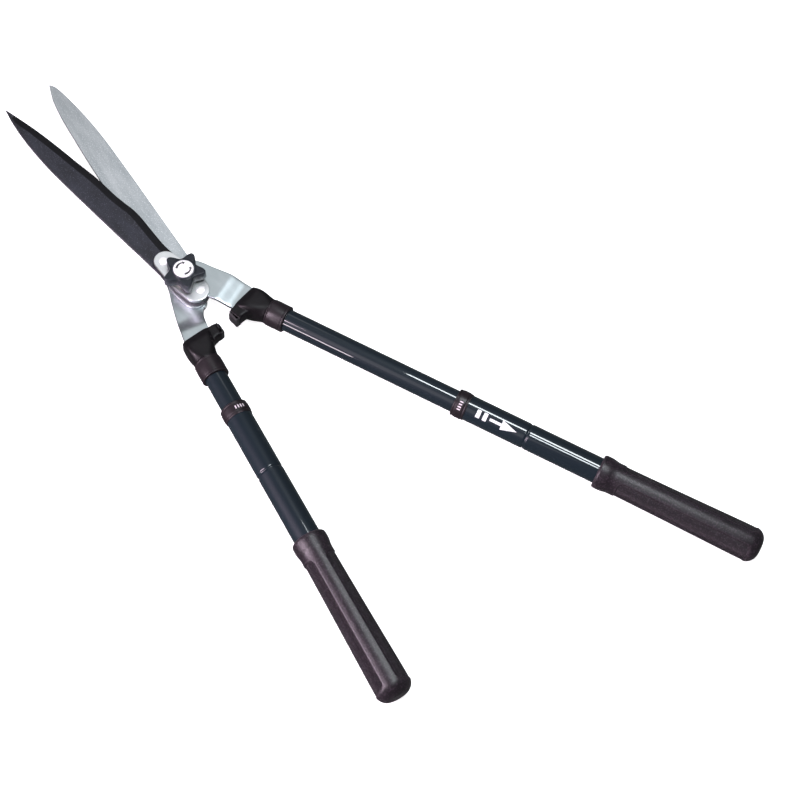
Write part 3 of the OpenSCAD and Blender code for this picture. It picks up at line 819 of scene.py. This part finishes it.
# Plain marks in place of the printed words: an arrow along the front tube, ticks on the lock collars.
arrow_marks = []
for u0, u1, a0, a1 in ((24, 28, -52, -16), (31, 35, -52, -16), (38, 50, -40, -28)):
    arrow_marks += bar(u0, u1, a0, a1)
HEAD_FROM = 50
HEAD_LEN = 16
head = [(HEAD_FROM + HEAD_LEN * (1 - abs(k / 5 - 1)), -56 + 4.4 * k) for k in range(11)]
arrow_marks += [[(HEAD_FROM, a), (u, a), (w, b), (HEAD_FROM, b)] for (u, a), (w, b) in zip(head, head[1:])]
stands_for(wrapped("front_tube_arrow", arrow_marks, OUTER_R + 0.03, FRONT_SLIDE), "front_handle",
           PRINT_WHITE, "outer_tube_paint")
for arm, place, centre in (("front", FRONT_SLIDE, -34), ("rear", REAR_SLIDE, 16)):
    ticks = []
    for k in range(4):
        start = centre - 21 + 11 * k
        ticks += bar(5.2, 8.6, start, start + 5, 2)
    stands_for(wrapped(f"{arm}_lock_ticks", ticks, LOCK_R + 0.03, place), f"{arm}_lock", PRINT_PALE,
               "collar_plastic")


# ------------------------------------------------------------------ grips

GRIP_R = 17.1
GRIP_TIP_R = 11.0       # rounding of the closed end
PANEL_HALF_GAP = 23     # degrees, of the smooth band between the two panels
PANEL_CORNER = 6.5
PANEL_DEPTH = 0.75
GRIP_LINE = spline([(GRIP_FROM, 15.2), (GRIP_FROM + 1.6, 16.5), (GRIP_FROM + 5, 16.7),
                    (GRIP_FROM + 9.5, 16.5), (GRIP_FROM + 15, 15.6), (GRIP_FROM + 24, 15.5),
                    (GRIP_FROM + 70, 16.0), (GRIP_FROM + 137, 17.05), (GRIP_END - GRIP_TIP_R, GRIP_R)], 12)


def grip(name, twist, place):
    """Closed moulded grip: lip, neck, two sunk knurled side panels and smooth bands between them."""
    seg = 144
    stations = resample(GRIP_LINE, 190)
    stations += [(GRIP_END - GRIP_TIP_R + GRIP_TIP_R * math.sin(math.radians(d)),
                  GRIP_R - GRIP_TIP_R + GRIP_TIP_R * math.cos(math.radians(d))) for d in range(6, 91, 6)]
    stations += [(GRIP_END, r) for r in (4, 2, 0.7)]
    verts, faces, knurl = [], [], []
    panel_from, panel_to = GRIP_FROM + 22 + PANEL_CORNER, GRIP_END - 9.5 - PANEL_CORNER
    for u, r in stations:
        for k in range(seg):
            a = 360 * k / seg
            off = abs((a - twist + 180) % 360 - 180)
            off = min(off, 180 - off)
            arc = math.radians(90 - off) * r
            half = math.radians(90 - PANEL_HALF_GAP) * r
            along = max(panel_from - u, u - panel_to, 0)
            around = max(arc - (half - PANEL_CORNER), 0)
            inside = PANEL_CORNER - math.hypot(along, around)
            sunk = smooth_step(-0.2, 1.1, inside)
            lip = smooth_step(-2.0, -0.2, inside) * (1 - sunk)
            raised = 0.12 * lip if u <= GRIP_END - 12 else 0
            verts.append(on_tube(u, a, r - PANEL_DEPTH * sunk + raised))
            knurl.append((u, arc * (1 if (a - twist) % 360 < 180 else -1), smooth_step(0.8, 1.6, inside)))
    n = len(stations)
    for i in range(n - 1):
        for k in range(seg):
            m = (k + 1) % seg
            faces.append((i * seg + k, (i + 1) * seg + k, (i + 1) * seg + m, i * seg + m))
    faces.append(tuple((n - 1) * seg + k for k in range(seg)))
    back = len(verts)
    for u, r in ((GRIP_FROM + 0.4, 12.75), (GRIP_FROM, 13.2)):
        verts += [on_tube(u, 360 * k / seg, r) for k in range(seg)]
    for a, b in ((back, back + seg), (back + seg, 0)):
        faces += [(a + k, a + (k + 1) % seg, b + (k + 1) % seg, b + k) for k in range(seg)]
    mesh = bpy.data.meshes.new(name)
    mesh.from_pydata([tuple(c * MM for c in v) for v in verts], [], faces)
    for poly in mesh.polygons:
        poly.use_smooth = True
    mesh.set_sharp_from_angle(angle=math.radians(60))
    bm = bmesh.new()
    bm.from_mesh(mesh)
    bmesh.ops.recalc_face_normals(bm, faces=bm.faces)
    bm.to_mesh(mesh)
    bm.free()
    # (along, round, strength) on the panels, for the knurling in the grip's material
    dots = mesh.attributes.new("knurl", "FLOAT_VECTOR", "POINT")
    for i in range(len(mesh.vertices)):
        dots.data[i].vector = knurl[i] if i < len(knurl) else (0, 0, 0)
    obj = bpy.data.objects.new(name, mesh)
    bpy.context.scene.collection.objects.link(obj)
    obj.matrix_world = place
    return obj


KNURL_PITCH = 2.1
GRIP_TWIST = -10


def knurled(material):
    """Rows of small raised points inside the sunk panels, from the panel's own coordinates."""
    nt = material.node_tree
    old = next(n for n in nt.nodes if n.type == "ATTRIBUTE" and n.attribute_name == "knurl")
    target = old.outputs["Fac"].links[0].to_socket
    split = nt.nodes.new("ShaderNodeSeparateXYZ")
    nt.links.new(old.outputs["Vector"], split.inputs[0])

    def maths(op, a, b=None):
        node = nt.nodes.new("ShaderNodeMath")
        node.operation = op
        for socket, v in zip(node.inputs, (a, b)):
            if v is None:
                continue
            if isinstance(v, (int, float)):
                socket.default_value = v
            else:
                nt.links.new(v, socket)
        return node.outputs[0]

    wave = 2 * math.pi / KNURL_PITCH
    a = maths("SINE", maths("MULTIPLY", maths("ADD", split.outputs[0], split.outputs[1]), wave))
    b = maths("SINE", maths("MULTIPLY", maths("SUBTRACT", split.outputs[0], split.outputs[1]), wave))
    nt.links.new(maths("MULTIPLY", maths("MULTIPLY", a, b), split.outputs[2]), target)


knurled(GRIP)
for arm, place in (("front", FRONT_SLIDE), ("rear", REAR_SLIDE)):
    stands_for(grip(f"{arm}_grip_shell", GRIP_TWIST, place), f"{arm}_handle", GRIP, "grip_plastic",
               f"{arm}_grip")


# ------------------------------------------------------------------ stage, light and camera

scene = bpy.context.scene
scene.view_settings.view_transform = "Standard"


PAPER = (0.93, 0.93, 0.93, 1)
FLOOR_HALF_M = 6
FLOOR_Z_M = -0.0002


def paper(name):
    """Matt, slightly glowing backdrop, which comes out as white as a cut-out photo."""
    mat = bpy.data.materials.new(name)
    mat.use_nodes = True
    shader = mat.node_tree.nodes["Principled BSDF"]
    shader.inputs["Base Color"].default_value = PAPER
    shader.inputs["Roughness"].default_value = 0.9
    shader.inputs["Specular IOR Level"].default_value = 0.1
    shader.inputs["Emission Color"].default_value = PAPER
    shader.inputs["Emission Strength"].default_value = 0.92
    return mat


corners = [(x * FLOOR_HALF_M, y * FLOOR_HALF_M, FLOOR_Z_M) for x, y in ((-1, -1), (1, -1), (1, 1), (-1, 1))]
floor_mesh = bpy.data.meshes.new("floor")
floor_mesh.from_pydata(corners, [], [(0, 1, 2, 3)])
floor = bpy.data.objects.new("floor", floor_mesh)
scene.collection.objects.link(floor)
floor_mesh.materials.append(paper("floor_paper"))
floor.visible_glossy = False    # so the tubes don't mirror it and their undersides stay dark

world = bpy.data.worlds.new("studio")
scene.world = world
world.use_nodes = True
world.node_tree.nodes["Background"].inputs["Color"].default_value = (0.95, 0.97, 1.0, 1)
world.node_tree.nodes["Background"].inputs["Strength"].default_value = 0.13


def softbox(name, at, aim, width, height, power, colour=(1, 1, 1), roll=0.0):
    """Rectangular light, in metres and watts, turned by `roll` degrees round its own axis."""
    light = bpy.data.lights.new(name, "AREA")
    light.shape = "RECTANGLE"
    light.size, light.size_y = width, height
    light.energy = power
    light.color = colour
    obj = bpy.data.objects.new(name, light)
    scene.collection.objects.link(obj)
    away = (Vector(at) - Vector(aim)).normalized()
    facing = away.to_track_quat("Z", "Y").to_matrix().to_4x4()
    obj.matrix_world = Matrix.Translation(at) @ facing @ turn_z(roll)


# The strip and short boxes draw the lines along the front tube, and the left and low boxes light the
# outer sides of the rear grip and the front tube.
softbox("blade_box", (-0.72, 0.40, 1.05), (-0.05, 0.0, 0.0), 0.9, 0.6, 1.7, (0.96, 0.98, 1.0))
softbox("strip_box", (0.200, 0.284, 1.2), (0.200, 0.284, 0.0), 0.43, 0.22, 8.6, (0.90, 0.96, 1.0), 16.7)
softbox("short_box", (0.4385, -0.10, 1.2), (0.4385, -0.10, 0.0), 0.17, 0.16, 2.4, (0.88, 0.95, 1.0), 16.7)
softbox("left_box", (-0.17, -1.0, 0.6), (0.38, -0.1, 0.0), 0.30, 0.9, 20, (1.0, 0.80, 0.96))
softbox("low_box", (0.198, -1.14, 0.2), (0.15, 0.05, 0.0), 0.17, 0.2, 2.0, (1.0, 0.86, 0.95))
softbox("floor_box", (0.1, -1.9, 1.9), (0.2, 0.0, 0.0), 1.6, 1.6, 5)

# The camera stands where a fit to points picked on the photograph puts it.
CAMERA_AT_M = (0.5772, -0.4396, 1.1021)
CAMERA_RIGHT = (0.7248, 0.6835, 0.0868)
CAMERA_DOWN = (0.6326, -0.6104, -0.4766)
camera = bpy.data.cameras.new("camera")
camera.sensor_width = 36
camera.lens = 58.53
camera.clip_start = 0.05
cam = bpy.data.objects.new("camera", camera)
scene.collection.objects.link(cam)
right = Vector(CAMERA_RIGHT)
back = right.cross(-Vector(CAMERA_DOWN))
right.normalize()
back.normalize()
up = back.cross(right)
cam.matrix_world = Matrix.Translation(CAMERA_AT_M) @ Matrix((right, up, back)).transposed().to_4x4()
scene.camera = cam
